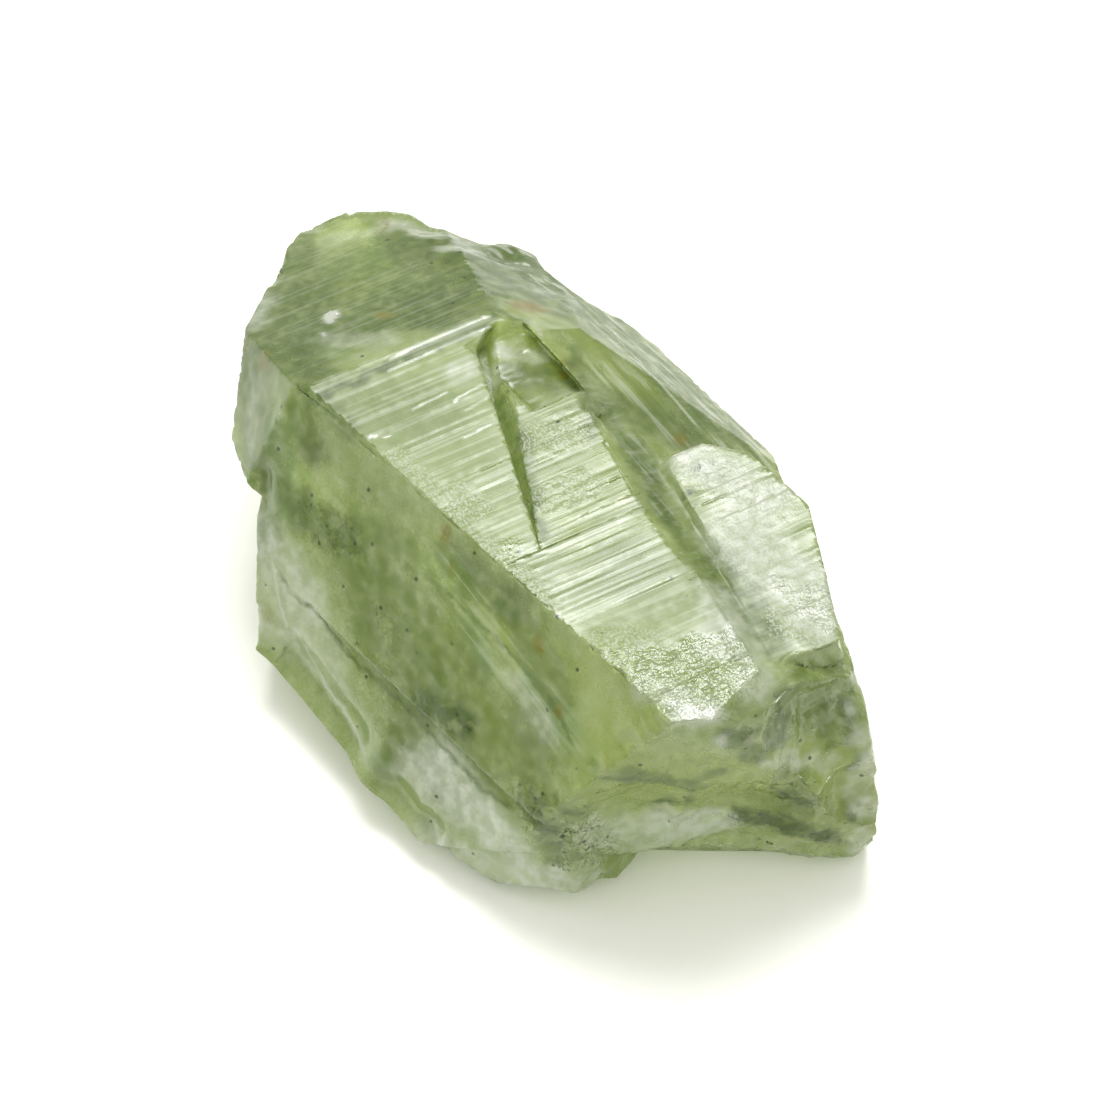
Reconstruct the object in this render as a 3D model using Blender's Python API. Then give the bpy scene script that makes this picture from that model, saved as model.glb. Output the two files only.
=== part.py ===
"""Green amethyst: one rough quartz crystal, lying on its lower prism face.

The crystal is one solid. Its length runs along X, with the pointed end at +X and the
broken end at -X. Flat growth and cleavage faces are planes that cut a block, each given
by a point on it, the compass direction it looks toward (0 is +X, 90 is +Y) and its slope
from the horizontal. Lengths are in millimetres and become metres when a mesh is made.
"""

import math
import random

import bmesh
import bpy
from mathutils import Matrix, Vector

MM = 0.001

# Driving dimensions
THICKNESS = 15.0
POINT_BREAK = 14.0
POINT_SLOPE = 24.5
LEDGE_DROP = 0.6
BLOCK_LENGTH = 60.0
BLOCK_WIDTH = 40.0

TOP = THICKNESS
LEDGE_TOP = THICKNESS - LEDGE_DROP
GREEN = (0.36, 0.47, 0.24, 1.0)

# Faces of the main crystal: point on the face, looks toward, slope
LEFT_PRISM = ((13.5, 5.7, TOP), 104, 57)
LEFT_SHOULDER = ((15.0, 6.0, TOP), 74, 61)
POINT_FACE = ((POINT_BREAK, 0.0, TOP), 0, POINT_SLOPE)
BROKEN_END = ((-11.8, -2.0, TOP), 158, 90)
BROKEN_CORNER = ((-11.8, -10.4, 10.0), 232, 76)
POINT_LEFT = ((26.6, 0.2, 9.1), 36, 82)
POINT_END = ((27.5, -1.8, 8.6), 2, 86)
POINT_RIGHT = ((26.8, -3.6, 9.0), -38, 84)
LEFT_SIDE = (
    LEFT_PRISM,
    LEFT_SHOULDER,
    ((19.4, 7.2, 10.9), 50, 96),
    ((5.6, 10.6, 5.5), 97, 70),
    ((-7.7, 5.8, 8.0), 107, 66),
)
RIGHT_SIDE = (
    ((23.4, -6.5, 9.8), -52, 86),
    ((17.8, -10.25, 9.0), -68, 86),
    ((14.0, -4.2, TOP), -60, 33),
    ((0.0, -5.4, TOP), -90, 30),
    ((10.5, -8.6, 13.3), -77, 44),
    ((11.2, -12.8, 9.0), -74, 112),
    ((4.6, -13.9, 9.0), -80, 88),
    ((-5.0, -12.2, 7.0), -104, 88),
)
POINT = (POINT_FACE, POINT_LEFT, POINT_END, POINT_RIGHT)
BROKEN = (
    BROKEN_END,
    BROKEN_CORNER,
    ((-11.9, -5.4, TOP), 185, 68),
    ((-8.6, 5.6, 6.0), 135, 84),
)
UNDERSIDE = (
    ((3.0, 11.1, 2.8), 94, 130),
    ((27.2, -1.8, 7.2), 0, 136),
    ((22.4, 4.8, 8.0), 46, 124),
    ((21.6, -8.0, 7.0), -50, 120),
    ((-12.4, -3.9, 2.2), 150, 125),
    ((-14.2, -9.8, 1.2), 205, 118),
)
MAIN_FACES = LEFT_SIDE + RIGHT_SIDE + POINT + BROKEN + UNDERSIDE

# The hollow under the left shoulder, which leaves the shoulder overhanging
UNDERCUT_FACES = (
    ((12.5, 9.7, 9.8), 235, 87),
    ((16.0, 9.1, 9.2), 270, 40),
)
UNDERCUT_TOP = 13.0

# The ledge: a second crystal grown beside the main one, its top a little lower
LEDGE_FACES = (
    ((0.0, -7.35, LEDGE_TOP), 85, 38),
    ((2.5, -8.0, LEDGE_TOP), 0, 76),
    ((2.0, -10.2, LEDGE_TOP), -42, 66),
    ((-1.8, -12.0, LEDGE_TOP), -77, 72),
    ((-6.9, -11.1, LEDGE_TOP), -108, 86),
    ((-10.1, -8.0, LEDGE_TOP), 185, 68),
    BROKEN_END,
    BROKEN_CORNER,
    ((0.0, -3.5, 8.0), 90, 90),
    ((-4.0, -12.8, 5.6), -102, 116),
    ((-12.4, -3.9, 2.3), 150, 124),
)
LEDGE_FLOOR = 0.6

# The toe: the lobe at the foot of the broken end
TOE_FACES = (
    ((-10.1, 1.3, 1.5), 206, 74),
    ((-10.3, 3.2, 2.2), 172, 84),
    ((-9.7, 4.9, 2.2), 135, 80),
    ((-8.8, 5.8, 2.2), 116, 74),
    ((-6.4, 7.2, 2.2), 98, 66),
    ((-9.2, 3.4, 6.2), 160, 42),
    ((-10.3, 3.2, 1.6), 150, 130),
    ((-9.9, 0.2, 1.5), -125, 80),
    ((-3.6, 3.0, 2.0), 0, 90),
)
TOE_FLOOR = 0.8
TOE_TOP = 8.0

# The split between the two halves of the top face
SPLIT_FACES = (
    ((0.9, 0.25, TOP), 76.7, 100),
    ((1.0, 0.1, TOP), -109.6, 128),
    ((12.6, -2.5, TOP), 20, 80),
)
SPLIT_FLOOR = 13.9

# The sunken corner between the split and the point
RECESS_FACES = (
    ((7.6, -3.0, TOP), 183, 96),
    ((9.0, -2.75, TOP), 100, 125),
    ((10.0, -5.0, 14.1), 70, 171),
    ((13.2, -5.0, TOP), 10, 130),
    ((9.0, -5.7, TOP), -82, 60),
)
RECESS_FLOOR = 12.0
CUT_ABOVE = 3.0

# The flake lost from the lower half of the left face, as a thin slab under a level line
FLAKE_LINE = (0.0, 7.55, 7.2)
FLAKE_DEPTH = 0.35
FLAKE_ENDS = (9.8, -9.0)

# Growth steps across the top faces: band start, band end, left end, right end, height, count
STEP_BANDS = (
    (13.9, -9.8, 9.0, -6.6, TOP, 42),
    (1.8, -9.0, -6.6, -14.0, LEDGE_TOP, 18),
)
STEP_FILL = (0.30, 0.78)
STEP_DEPTH = (0.02, 0.06)
STEP_TURN = 0.4
STEP_FADE = 0.2
STEP_HEIGHT = 0.4
STEP_SEED = 7

# The notch at the head of the valley beside the ledge: centre line and radius at each end
VALLEY_HIGH = (6.2, -6.75, 15.1)
VALLEY_LOW = (-2.5, -7.1, 14.35)
VALLEY_RADII = (1.1, 0.1)
VALLEY_SIDES = 16

# Shell-shaped fractures: middle of the hollow, looks toward, slope, ball radius, depth
HOLLOWS = (
    ((-12.0, -3.5, 5.4), 160, 88, 6.6, 0.8),
    ((-13.6, -8.9, 6.6), 190, 80, 3.0, 0.5),
    ((-12.3, -8.0, 11.4), 188, 70, 8.0, 0.6),
    ((-5.8, 8.2, 4.0), 105, 62, 8.0, 0.9),
    ((-10.7, 0.6, 6.9), 155, 88, 6.0, 0.7),
    ((24.6, 2.9, 10.4), 40, 40, 1.6, 0.5),
    ((-8.6, 4.6, 9.6), 118, 66, 3.0, 0.45),
    ((16.9, -10.6, 9.2), -72, 62, 5.0, 0.65),
    ((22.6, -8.1, 9.4), -58, 62, 6.0, 0.5),
)
HOLLOW_SIDES = 40


def normal_of(toward, slope):
    """Outward direction of a face that looks toward a compass angle at a slope."""
    turn = math.radians(toward)
    tilt = math.radians(slope)
    return Vector((math.cos(turn) * math.sin(tilt), math.sin(turn) * math.sin(tilt), math.cos(tilt)))


def cleave(mesh, point, toward, slope):
    """Cut everything outside the plane off a convex bmesh and close the cut."""
    everything = mesh.verts[:] + mesh.edges[:] + mesh.faces[:]
    cut = bmesh.ops.bisect_plane(
        mesh,
        geom=everything,
        dist=1e-6,
        plane_co=Vector(point),
        plane_no=normal_of(toward, slope),
        clear_outer=True,
    )
    rim = [part for part in cut["geom_cut"] if isinstance(part, bmesh.types.BMEdge)]
    if rim:
        bmesh.ops.edgeloop_fill(mesh, edges=rim)


def crystal_block(name, floor, top, faces, collection):
    """A block from floor to top, cleaved by its faces."""
    mesh = bmesh.new()
    size = Matrix.Diagonal((BLOCK_LENGTH, BLOCK_WIDTH, top - floor, 1.0))
    place = Matrix.Translation((0.0, 0.0, (top + floor) / 2))
    bmesh.ops.create_cube(mesh, size=1.0, matrix=place @ size)
    for point, toward, slope in faces:
        cleave(mesh, point, toward, slope)
    bmesh.ops.recalc_face_normals(mesh, faces=mesh.faces)
    bmesh.ops.scale(mesh, vec=(MM, MM, MM), verts=mesh.verts)
    return add_object(name, mesh, collection)


def add_object(name, mesh, collection):
    """Turn a bmesh into an object of the collection."""
    data = bpy.data.meshes.new(name)
    mesh.to_mesh(data)
    mesh.free()
    thing = bpy.data.objects.new(name, data)
    collection.objects.link(thing)
    return thing


def boolean(target, tool, operation):
    """Join or cut the target with the tool, exactly."""
    modifier = target.modifiers.new(tool.name, "BOOLEAN")
    modifier.operation = operation
    modifier.solver = "EXACT"
    modifier.object = tool
    tool.hide_render = True
    tool.display_type = "WIRE"


def green_quartz():
    """Pale green clear quartz."""
    material = bpy.data.materials.new("green_quartz")
    material.use_nodes = True
    shader = material.node_tree.nodes["Principled BSDF"]
    shader.inputs["Base Color"].default_value = GREEN
    shader.inputs["Roughness"].default_value = 0.2
    shader.inputs["Metallic"].default_value = 0.0
    return material


def valley_cutter(collection):
    """A slim cone laid along the valley."""
    low = Vector(VALLEY_LOW)
    run = Vector(VALLEY_HIGH) - low
    mesh = bmesh.new()
    turn = run.to_track_quat("Z", "X").to_matrix().to_4x4()
    bmesh.ops.create_cone(
        mesh,
        cap_ends=True,
        segments=VALLEY_SIDES,
        radius1=VALLEY_RADII[1],
        radius2=VALLEY_RADII[0],
        depth=run.length,
        matrix=Matrix.Translation(low + run / 2) @ turn,
    )
    bmesh.ops.scale(mesh, vec=(MM, MM, MM), verts=mesh.verts)
    return add_object("valley", mesh, collection)


def hollow_cutter(name, middle, toward, slope, radius, depth, collection):
    """A ball that takes a shell-shaped flake off the crystal."""
    centre = Vector(middle) + (radius - depth) * normal_of(toward, slope)
    mesh = bmesh.new()
    bmesh.ops.create_uvsphere(
        mesh,
        u_segments=HOLLOW_SIDES,
        v_segments=HOLLOW_SIDES // 2,
        radius=radius,
        matrix=Matrix.Translation(centre),
    )
    bmesh.ops.scale(mesh, vec=(MM, MM, MM), verts=mesh.verts)
    return add_object(name, mesh, collection)


def flake_cutter(collection):
    """A thin slab along the lower half of the left prism face."""
    point, toward, slope = LEFT_PRISM
    inner = Vector(point) - FLAKE_DEPTH * normal_of(toward, slope)
    faces = (
        (inner, toward + 180, 180 - slope),
        (FLAKE_LINE, toward + 180, 90 - slope),
        ((FLAKE_ENDS[0], 0.0, 0.0), 10, 88),
        ((FLAKE_ENDS[1], 0.0, 0.0), 190, 88),
    )
    return crystal_block("flake", -CUT_ABOVE, TOP, faces, collection)


def step_cutter(collection):
    """Long shingles across the top faces, where growth stopped and went on."""
    chance = random.Random(STEP_SEED)
    mesh = bmesh.new()
    for start, end, left, right, top, count in STEP_BANDS:
        pitch = abs(end - start) / count
        for number in range(count):
            width = pitch * chance.uniform(*STEP_FILL)
            depth = chance.uniform(*STEP_DEPTH)
            lean = math.atan2(depth, width) * chance.choice((1, 1, 1, -1))
            size = Matrix.Diagonal((width, left - right, STEP_HEIGHT, 1.0))
            turn = (
                Matrix.Rotation(math.radians(chance.uniform(-STEP_TURN, STEP_TURN)), 4, "Z")
                @ Matrix.Rotation(math.radians(chance.uniform(-STEP_FADE, STEP_FADE)), 4, "X")
                @ Matrix.Rotation(lean, 4, "Y")
            )
            x = start + math.copysign(pitch * (number + 0.5), end - start)
            lift = STEP_HEIGHT / 2 - depth / 2
            place = Matrix.Translation((x, (left + right) / 2, top + lift))
            bmesh.ops.create_cube(mesh, size=1.0, matrix=place @ turn @ size)
    bmesh.ops.scale(mesh, vec=(MM, MM, MM), verts=mesh.verts)
    return add_object("steps", mesh, collection)


def centre_on_origin(target):
    """Move the target and its tools so that its box stands centred on the origin."""
    seen = target.evaluated_get(bpy.context.evaluated_depsgraph_get())
    corners = [Vector(corner) for corner in seen.bound_box]
    low = Vector([min(corner[axis] for corner in corners) for axis in range(3)])
    high = Vector([max(corner[axis] for corner in corners) for axis in range(3)])
    shift = Vector(((low.x + high.x) / 2, (low.y + high.y) / 2, low.z))
    for thing in bpy.data.objects:
        thing.location -= shift


for thing in list(bpy.data.objects):
    bpy.data.objects.remove(thing, do_unlink=True)

specimen = bpy.data.collections.new("green_amethyst")
cutters = bpy.data.collections.new("cutters")
bpy.context.scene.collection.children.link(specimen)
bpy.context.scene.collection.children.link(cutters)

crystal = crystal_block("crystal", 0.0, TOP, MAIN_FACES, specimen)
crystal.data.materials.append(green_quartz())

ledge = crystal_block("ledge", LEDGE_FLOOR, LEDGE_TOP, LEDGE_FACES, cutters)
toe = crystal_block("toe", TOE_FLOOR, TOE_TOP, TOE_FACES, cutters)
for lump in (ledge, toe):
    boolean(crystal, lump, "UNION")

undercut = crystal_block("undercut", -CUT_ABOVE, UNDERCUT_TOP, UNDERCUT_FACES, cutters)
split = crystal_block("split", SPLIT_FLOOR, TOP + CUT_ABOVE, SPLIT_FACES, cutters)
recess = crystal_block("recess", RECESS_FLOOR, TOP + CUT_ABOVE, RECESS_FACES, cutters)
valley = valley_cutter(cutters)
for cutter in (undercut, split, recess, valley, flake_cutter(cutters), step_cutter(cutters)):
    boolean(crystal, cutter, "DIFFERENCE")
for number, hollow in enumerate(HOLLOWS):
    boolean(crystal, hollow_cutter("hollow_%d" % number, *hollow, cutters), "DIFFERENCE")
centre_on_origin(crystal)
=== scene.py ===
import math
import random

import bmesh
import bpy
import numpy as np
from mathutils import Matrix, Vector, noise

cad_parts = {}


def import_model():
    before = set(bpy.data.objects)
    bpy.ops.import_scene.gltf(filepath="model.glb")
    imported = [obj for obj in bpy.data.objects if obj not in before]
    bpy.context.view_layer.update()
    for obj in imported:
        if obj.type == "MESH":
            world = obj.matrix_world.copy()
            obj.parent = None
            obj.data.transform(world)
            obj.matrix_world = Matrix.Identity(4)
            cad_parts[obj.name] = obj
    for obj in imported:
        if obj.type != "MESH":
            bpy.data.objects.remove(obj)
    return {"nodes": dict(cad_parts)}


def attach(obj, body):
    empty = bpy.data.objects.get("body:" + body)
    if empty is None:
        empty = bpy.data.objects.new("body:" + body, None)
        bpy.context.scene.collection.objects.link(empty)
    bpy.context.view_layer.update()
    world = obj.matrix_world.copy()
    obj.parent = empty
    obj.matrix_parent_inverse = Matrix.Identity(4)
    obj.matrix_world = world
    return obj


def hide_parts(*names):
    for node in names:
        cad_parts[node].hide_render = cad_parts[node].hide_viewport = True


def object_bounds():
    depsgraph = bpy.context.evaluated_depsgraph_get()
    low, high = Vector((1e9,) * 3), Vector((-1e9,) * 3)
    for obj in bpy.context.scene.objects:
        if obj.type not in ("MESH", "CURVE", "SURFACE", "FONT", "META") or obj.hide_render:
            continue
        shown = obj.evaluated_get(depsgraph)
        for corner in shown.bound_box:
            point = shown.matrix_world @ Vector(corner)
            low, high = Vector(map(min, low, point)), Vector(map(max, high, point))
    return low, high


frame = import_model()
cad_low, cad_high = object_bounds()

# The viewpoint: from behind the broken end and 55 degrees above the level, through a long
# lens, with the whole crystal in the middle of the picture. Places on the crystal are in
# millimetres from its datum, a point on the floor under the middle of the striated top.
MM = 0.001
DATUM_INSET = (14.98, 14.23)
DATUM = Vector((cad_low.x + DATUM_INSET[0] * MM, cad_low.y + DATUM_INSET[1] * MM, 0.0))
TOP = (cad_high.z - cad_low.z) / MM
VIEW_TURN = math.radians(242)
VIEW_RISE = math.radians(55)
VIEW_WIDTH = 52.0
LENS = 150.0
SENSOR = 36.0
CLIP_NEAR = 0.01
CLIP_FAR = 10.0


def placed(x, y, z):
    """A place on the crystal, in metres in the frame."""
    return DATUM + Vector((x, y, z)) * MM


def aim(thing, eye, target):
    """Put a camera or a lamp at one point and turn it toward another."""
    thing.location = eye
    thing.rotation_mode = "QUATERNION"
    thing.rotation_quaternion = (target - eye).to_track_quat("-Z", "Y")


toward_eye = Vector((
    math.sin(VIEW_TURN) * math.cos(VIEW_RISE),
    -math.cos(VIEW_TURN) * math.cos(VIEW_RISE),
    math.sin(VIEW_RISE),
))
top_middle = placed(0.0, 0.0, TOP)
camera_data = bpy.data.cameras.new("camera")
camera_data.lens = LENS
camera_data.sensor_width = SENSOR
camera_data.clip_start = CLIP_NEAR
camera_data.clip_end = CLIP_FAR
camera = bpy.data.objects.new("camera", camera_data)
bpy.context.scene.collection.objects.link(camera)
bpy.context.scene.camera = camera
aim(camera, top_middle + toward_eye * (LENS / SENSOR * VIEW_WIDTH * MM), top_middle)
bpy.context.scene.view_settings.view_transform = "Standard"

# The studio: a white tent, brightest overhead, and a wide soft box with its lower edge where
# the flat top face mirrors it into the lens, so that small steps in the face show.
TENT_SIDE = (0.42, 0.43, 0.38, 1.0)
TENT_TOP = (1.10, 1.10, 1.02, 1.0)
TENT_SHOULDER = 0.55
SOFTBOX_SIZE = (0.22, 0.14)
SOFTBOX_RADIANCE = 13.4
SOFTBOX_AWAY = 0.40
SOFTBOX_RISE = math.radians(64.8)
SOFTBOX_TOWARD = (
    -math.sin(VIEW_TURN) * math.cos(SOFTBOX_RISE),
    math.cos(VIEW_TURN) * math.cos(SOFTBOX_RISE),
    math.sin(SOFTBOX_RISE),
)

world = bpy.data.worlds.new("studio")
bpy.context.scene.world = world
world.use_nodes = True
sky = world.node_tree.nodes["Background"]
sky_place = world.node_tree.nodes.new("ShaderNodeTexCoord")
height_of = world.node_tree.nodes.new("ShaderNodeSeparateXYZ")
tent = world.node_tree.nodes.new("ShaderNodeValToRGB")
tent.color_ramp.elements[0].color = TENT_SIDE
tent.color_ramp.elements[1].color = TENT_TOP
tent.color_ramp.elements[1].position = TENT_SHOULDER
world.node_tree.links.new(sky_place.outputs["Generated"], height_of.inputs["Vector"])
world.node_tree.links.new(height_of.outputs["Z"], tent.inputs["Fac"])
world.node_tree.links.new(tent.outputs["Color"], sky.inputs["Color"])

softbox_data = bpy.data.lights.new("top_softbox", "AREA")
softbox_data.shape = "RECTANGLE"
softbox_data.size, softbox_data.size_y = SOFTBOX_SIZE
softbox_data.energy = SOFTBOX_RADIANCE * math.pi * SOFTBOX_SIZE[0] * SOFTBOX_SIZE[1]
softbox = bpy.data.objects.new("top_softbox", softbox_data)
bpy.context.scene.collection.objects.link(softbox)
softbox.visible_transmission = False
aim(softbox, top_middle + Vector(SOFTBOX_TOWARD) * SOFTBOX_AWAY, top_middle)

# The floor: a plain pale sheet, a hair below the face that the crystal rests on.
FLOOR_GAP = 0.02 * MM
FLOOR_HALF = 3.0
FLOOR_PALE = (0.93, 0.93, 0.92, 1.0)
FLOOR_ROUGHNESS = 0.9

floor_mesh = bmesh.new()
bmesh.ops.create_grid(floor_mesh, x_segments=1, y_segments=1, size=FLOOR_HALF)
floor_data = bpy.data.meshes.new("floor")
floor_mesh.to_mesh(floor_data)
floor_mesh.free()
floor_data.transform(Matrix.Translation((0.0, 0.0, -FLOOR_GAP)))
floor = bpy.data.objects.new("floor", floor_data)
bpy.context.scene.collection.objects.link(floor)
pale = bpy.data.materials.new("pale_floor")
pale.use_nodes = True
pale_shader = pale.node_tree.nodes["Principled BSDF"]
pale_shader.inputs["Base Color"].default_value = FLOOR_PALE
pale_shader.inputs["Roughness"].default_value = FLOOR_ROUGHNESS
floor.data.materials.append(pale)

# The crystal: one piece of clear green quartz. Its flat faces grew in fine steps across its
# length, and the broken ones came off in shell-shaped flakes. The skin is sliced finely
# enough to carry those steps, ripples and chips, and keeps a record of what each spot is.
HIDDEN_CELL = 0.5
SEEN_CELL = 0.225
STRIA_CELL = 0.085
TOP_CELL = 0.2
FLAT_TOP = 0.97
TOP_SLACK = 0.1
TOP_DEPTH = 1.4
SEEN_FROM = 0.05
SHARP_FROM = math.radians(30)
EDGE_FROM = math.radians(24)
WELD = 2e-6
CUT_SLACK = 1e-4
SLIVER = 1e-3
NO_LENGTH = 1e-9

skin = bmesh.new()
skin.from_mesh(frame["nodes"]["crystal"].data)
bmesh.ops.remove_doubles(skin, verts=skin.verts, dist=WELD)
bmesh.ops.translate(skin, vec=-DATUM, verts=skin.verts)
bmesh.ops.scale(skin, vec=(1 / MM, 1 / MM, 1 / MM), verts=skin.verts)

# The solid's own growth steps are levelled, and finer ones are laid over them further on.
SOLID_STEP_DEPTH = 0.09
LEDGE_DROP = 0.6
LEVEL_SLACK = 0.01
LEVEL_WITHIN = math.radians(0.3)

for vert in skin.verts:
    if max(face.normal.z for face in vert.link_faces) < FLAT_TOP:
        continue
    for flat in (TOP, TOP - LEDGE_DROP):
        if -LEVEL_SLACK < flat - vert.co.z < SOLID_STEP_DEPTH:
            vert.co.z = flat
bmesh.ops.remove_doubles(skin, verts=skin.verts, dist=LEVEL_SLACK)
bmesh.ops.dissolve_limit(skin, angle_limit=LEVEL_WITHIN, verts=skin.verts, edges=skin.edges)


def patch_of(faces):
    """A patch of faces with their corners and edges."""
    verts = list(dict.fromkeys(vert for face in faces for vert in face.verts))
    edges = list(dict.fromkeys(edge for face in faces for edge in face.edges))
    return verts + edges + faces


def cut(patch, place, across):
    """Cut a patch of the skin with a plane, and return the patch."""
    parts = bmesh.ops.bisect_plane(
        skin, geom=patch, dist=CUT_SLACK, plane_co=place, plane_no=across
    )
    return parts["geom"]


def sliced(patch, axis, step):
    """Slice a patch of the skin at an even step along an axis, and return the patch."""
    reaches = [vert.co[axis] for vert in patch if isinstance(vert, bmesh.types.BMVert)]
    low, high = min(reaches), max(reaches)
    across = Vector((0.0, 0.0, 0.0))
    across[axis] = 1.0
    for number in range(1, int((high - low) / step)):
        patch = cut(patch, across * (low + number * step), across)
    return patch


# The right rim of the striated top and its lower corner fall away along lines of their own.
# The fall is per millimetre past the line, and reaches down no further than its depth.
RIM = ((-5.4, -5.8), (-3.0, -5.05), (2.7, -5.1), (5.1, -5.4), (8.2, -5.9))
RIM_FALL = 0.47
RIM_DEPTH = 1.5
VALLEY_Y = -7.1
CORNER = ((-10.5, -5.6), (-11.8, -2.1))
CORNER_FALL = 0.55
CORNER_DEPTH = 1.2
CORNER_PAST = 0.4
# A small lump that catches the light on the broken end, on ground that is sliced more finely.
BEAD = (-12.6, -3.9, 13.3)
BEAD_WIDTH = 0.14
BEAD_RISE = 0.8
BEAD_GROUND = 3
BEAD_CELL = 0.08

for start, end in (*zip(RIM, RIM[1:]), CORNER):
    level_faces = [
        face for face in skin.faces
        if face.normal.z > FLAT_TOP and face.calc_center_median().z > TOP - TOP_SLACK
    ]
    run = Vector(end) - Vector(start)
    cut(patch_of(level_faces), (*start, TOP), (-run.y, run.x, 0.0))

top_faces = []
seen_faces = []
hidden_faces = []
for face in skin.faces:
    if face.normal.z > FLAT_TOP and face.calc_center_median().z > TOP - TOP_DEPTH:
        top_faces.append(face)
    elif face.normal.dot(toward_eye) > SEEN_FROM:
        seen_faces.append(face)
    else:
        hidden_faces.append(face)
for faces, cells in (
    (hidden_faces, (HIDDEN_CELL, HIDDEN_CELL, HIDDEN_CELL)),
    (seen_faces, (SEEN_CELL, SEEN_CELL, SEEN_CELL)),
    (top_faces, (STRIA_CELL, TOP_CELL)),
):
    patch = patch_of(faces)
    for axis, cell in enumerate(cells):
        patch = sliced(patch, axis, cell)
patch = patch_of([
    face for face in skin.faces
    if (face.calc_center_median() - Vector(BEAD)).length < BEAD_GROUND * BEAD_WIDTH
])
for axis in (0, 1, 2):
    patch = sliced(patch, axis, BEAD_CELL)
for _ in range(2):
    bmesh.ops.dissolve_degenerate(skin, dist=SLIVER, edges=skin.edges)
    bmesh.ops.triangulate(skin, faces=skin.faces)

rim_x, rim_y = np.array(RIM).T
corner_start, corner_end = (Vector(place) for place in CORNER)
corner_out = (corner_end - corner_start).orthogonal().normalized()
for vert in skin.verts:
    x, y, z = vert.co
    past_rim = np.interp(x, rim_x, rim_y) - y
    if past_rim > 0.0 and rim_x[0] < x < rim_x[-1] and y > VALLEY_Y and z > TOP - RIM_DEPTH:
        vert.co.z = min(z, TOP - RIM_FALL * past_rim)
for vert in skin.verts:
    x, y, z = vert.co
    past_corner = (vert.co.xy - corner_start).dot(corner_out)
    if past_corner > 0.0 and VALLEY_Y < y < corner_end.y + CORNER_PAST and z > TOP - CORNER_DEPTH:
        vert.co.z = min(z, TOP - CORNER_FALL * past_corner)
skin.normal_update()

# Where weather wore the steps and the flake's end smooth: line, reach, and how many times
# the skin there is relaxed.
WORN = (
    ((8.5, -7.0, 14.1), (-9.5, -7.0, 14.2), 0.9, 14),
    ((8.9, 11.2, 4.6), (7.9, 9.8, 6.8), 1.3, 16),
    ((13.6, -4.6, 14.6), (8.5, -6.8, 14.1), 1.0, 14),
    ((12.6, -3.2, 14.6), (11.0, -5.0, 14.2), 1.0, 4),
)
WORN_PULL = 0.5

for start, end, reach, times in WORN:
    run = Vector(end) - Vector(start)
    worn = []
    for vert in skin.verts:
        share = min(max((vert.co - Vector(start)).dot(run) / run.length_squared, 0.0), 1.0)
        if (vert.co - Vector(start) - run * share).length < reach:
            worn.append(vert)
    for _ in range(times):
        bmesh.ops.smooth_vert(
            skin, verts=worn, factor=WORN_PULL, use_axis_x=True, use_axis_y=True, use_axis_z=True
        )
skin.normal_update()
edge_verts = set()
for edge in skin.edges:
    if len(edge.link_faces) == 2 and edge.calc_face_angle(0.0) > EDGE_FROM:
        edge_verts.update(edge.verts)
on_edge = np.array([vert in edge_verts for vert in skin.verts])
crystal_data = bpy.data.meshes.new("rough_crystal")
skin.to_mesh(crystal_data)
skin.free()


def rows(source, key):
    """What a mesh keeps at each of its corners, as rows of three."""
    values = np.empty(len(source) * 3)
    source.foreach_get(key, values)
    return values.reshape(-1, 3)


def smooth_step(value, low, high):
    """0 below low, 1 above high, and an even rise between them."""
    share = np.clip((value - low) / (high - low), 0.0, 1.0)
    return share * share * (3.0 - 2.0 * share)


def near(points, start, end, reach, core=0.0):
    """1 at the line between two places, 0 past the reach, and an even fall from a core on."""
    start = np.array(start)
    run = np.array(end) - start
    share = np.clip((points - start) @ run / max(run @ run, NO_LENGTH), 0.0, 1.0)
    away = np.linalg.norm(points - start - share[:, None] * run, axis=1)
    return 1.0 - smooth_step(away, core * reach, reach)


def summed(points, marks):
    """How strongly a list of marks shows at each point, from 0 to 1."""
    clear = np.ones(len(points))
    for start, end, width, strength in marks:
        clear *= 1.0 - strength * near(points, start, end, width, MARK_CORE)
    return 1.0 - clear


def lumpy(points, size, seed=0.0):
    """Smooth noise from -1 to 1 at each point, in lumps of a size."""
    apart = Vector((seed, 0.0, 0.0))
    return np.array([noise.noise(Vector(point) / size + apart) for point in points])


def layered(points, layers):
    """Noise in lumps of several sizes at once, each with its share."""
    return sum(share * lumpy(points, size) for size, share in layers)


def stretched(points, direction, keep):
    """The points squeezed along a direction, so that noise on them runs on along it."""
    direction = np.array(Vector(direction).normalized())
    return points + (keep - 1.0) * (points @ direction)[:, None] * direction


def shaken(points, *shakes):
    """The points moved about by noise of each size and reach in turn, as for a ragged rim."""
    for size, reach in shakes:
        moves = [noise.noise_vector(Vector(point) / size) for point in points]
        points = points + reach * np.array(moves)
    return points


SHAKE_SEED = 7

noise.seed_set(SHAKE_SEED)
places = rows(crystal_data.vertices, "co")
facings = rows(crystal_data.vertex_normals, "vector")
count = len(places)

# What the eye finds in it: deeper green where the colour is strong, with painted shade down
# the split in the top, pale veils, with one painted highlight on the broken end, bluish and
# yellowish spots, frosted patches, clouds of dark specks and rust. Each mark runs from one
# place to another, with a width and a strength, and is at its full strength in its core.
MARK_CORE = 0.3

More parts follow.
